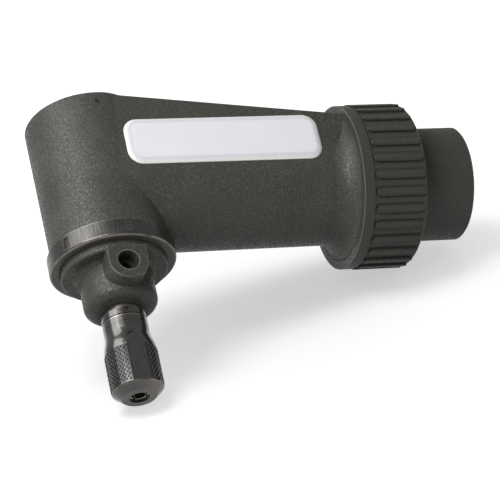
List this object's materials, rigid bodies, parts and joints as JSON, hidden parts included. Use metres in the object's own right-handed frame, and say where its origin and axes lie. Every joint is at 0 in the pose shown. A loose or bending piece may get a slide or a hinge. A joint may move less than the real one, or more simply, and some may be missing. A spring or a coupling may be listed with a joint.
{
  "type": "right angle attachment",
  "caption": "Right angle head for a rotary tool: threaded socket and ribbed clamping ring at one end, bevel-geared spindle with a knurled collet nut at the other.",
  "frame": {"origin": "centre of the tool socket's mouth, on the barrel axis", "axes": "+X out of the socket's mouth towards the tool, -Z along the output spindle towards its collet nut, -Y the side with the spindle lock hole"},
  "size_m": [0.0892, 0.034, 0.063],
  "materials": {
    "moulded_body": "fine spark-eroded grain, matte",
    "black_oxide": "black oxide on steel, satin",
    "ground_steel": "ground and polished",
    "gear_steel": "case-hardened and oiled",
    "spring_steel": "phosphated spring steel",
    "alloy_tube": "drawn tube",
    "seal_rubber": "moulded nitrile",
    "swivel_plastic": "low-friction plastic, natural"
  },
  "bodies": {
    "socket": {"tool_socket": "moulded_body", "swivel_ring": "swivel_plastic"},
    "housing": {"housing": "moulded_body", "bearing_cap": "moulded_body", "retaining_band": "black_oxide", "neck_seal": "seal_rubber", "needle_cup": "ground_steel", "bearing_spacer": "alloy_tube", "bore_circlip": "spring_steel", "front_bearing_outer_race": "ground_steel", "rear_bearing_outer_race": "ground_steel", "lower_bearing_outer_race": "ground_steel"},
    "clamp_washer": {"slip_washer": "spring_steel"},
    "coupling_ring": {"coupling_ring": "moulded_body"},
    "input_shaft": {"drive_shaft": "ground_steel", "bevel_pinion": "gear_steel", "pinion_pin": "ground_steel", "pinion_shim": "spring_steel", "shaft_circlip": "spring_steel", "front_bearing_inner_race": "ground_steel", "rear_bearing_inner_race": "ground_steel"},
    "front_balls": {"front_bearing_balls": "ground_steel"},
    "rear_balls": {"rear_bearing_balls": "ground_steel"},
    "output_spindle": {"spindle": "ground_steel", "bevel_gear": "gear_steel", "gear_pin": "ground_steel", "gear_shim": "spring_steel", "lower_bearing_inner_race": "ground_steel"},
    "lower_balls": {"lower_bearing_balls": "ground_steel"},
    "needles": {"needle_rollers": "ground_steel"},
    "collet": {"collet": "ground_steel"},
    "collet_nut": {"collet_nut": "black_oxide"}
  },
  "joints": [
    {"name": "head_swivel", "type": "hinge", "parent": "socket", "child": "housing", "pos_m": [-0.0195, 0, 0], "axis": [1, 0, 0], "continuous": true},
    {"name": "ring_travel", "type": "slide", "parent": "housing", "child": "clamp_washer", "axis": [1, 0, 0], "range_m": [0, 0.0015]},
    {"name": "ring_turn", "type": "hinge", "parent": "clamp_washer", "child": "coupling_ring", "pos_m": [-0.0195, 0, 0], "axis": [1, 0, 0], "range_deg": [0, 360]},
    {"name": "input_spin", "type": "hinge", "parent": "housing", "child": "input_shaft", "pos_m": [-0.04, 0, 0], "axis": [1, 0, 0], "continuous": true},
    {"name": "front_ball_orbit", "type": "hinge", "parent": "housing", "child": "front_balls", "pos_m": [-0.061, 0, 0], "axis": [1, 0, 0], "continuous": true},
    {"name": "rear_ball_orbit", "type": "hinge", "parent": "housing", "child": "rear_balls", "pos_m": [-0.0315, 0, 0], "axis": [1, 0, 0], "continuous": true},
    {"name": "spindle_spin", "type": "hinge", "parent": "housing", "child": "output_spindle", "pos_m": [-0.0765, 0, 0], "axis": [0, 0, 1], "continuous": true},
    {"name": "lower_ball_orbit", "type": "hinge", "parent": "housing", "child": "lower_balls", "pos_m": [-0.0765, 0, 0], "axis": [0, 0, 1], "continuous": true},
    {"name": "needle_orbit", "type": "hinge", "parent": "housing", "child": "needles", "pos_m": [-0.0765, 0, 0], "axis": [0, 0, 1], "continuous": true},
    {"name": "collet_travel", "type": "slide", "parent": "output_spindle", "child": "collet", "axis": [0, 0, -1], "range_m": [0, 0.00127]},
    {"name": "collet_nut_turn", "type": "hinge", "parent": "collet", "child": "collet_nut", "pos_m": [-0.0765, 0, 0], "axis": [0, 0, -1], "range_deg": [0, 720]}
  ],
  "couplings": [
    {"joint": "ring_travel", "follows": "ring_turn", "m_per_rad": 0.00023873},
    {"joint": "spindle_spin", "follows": "input_spin", "ratio": 0.875},
    {"joint": "front_ball_orbit", "follows": "input_spin", "ratio": 0.39565},
    {"joint": "rear_ball_orbit", "follows": "input_spin", "ratio": 0.39565},
    {"joint": "lower_ball_orbit", "follows": "input_spin", "ratio": 0.3462},
    {"joint": "needle_orbit", "follows": "input_spin", "ratio": 0.33397},
    {"joint": "collet_travel", "follows": "collet_nut_turn", "m_per_rad": 0.00010106}
  ]
}
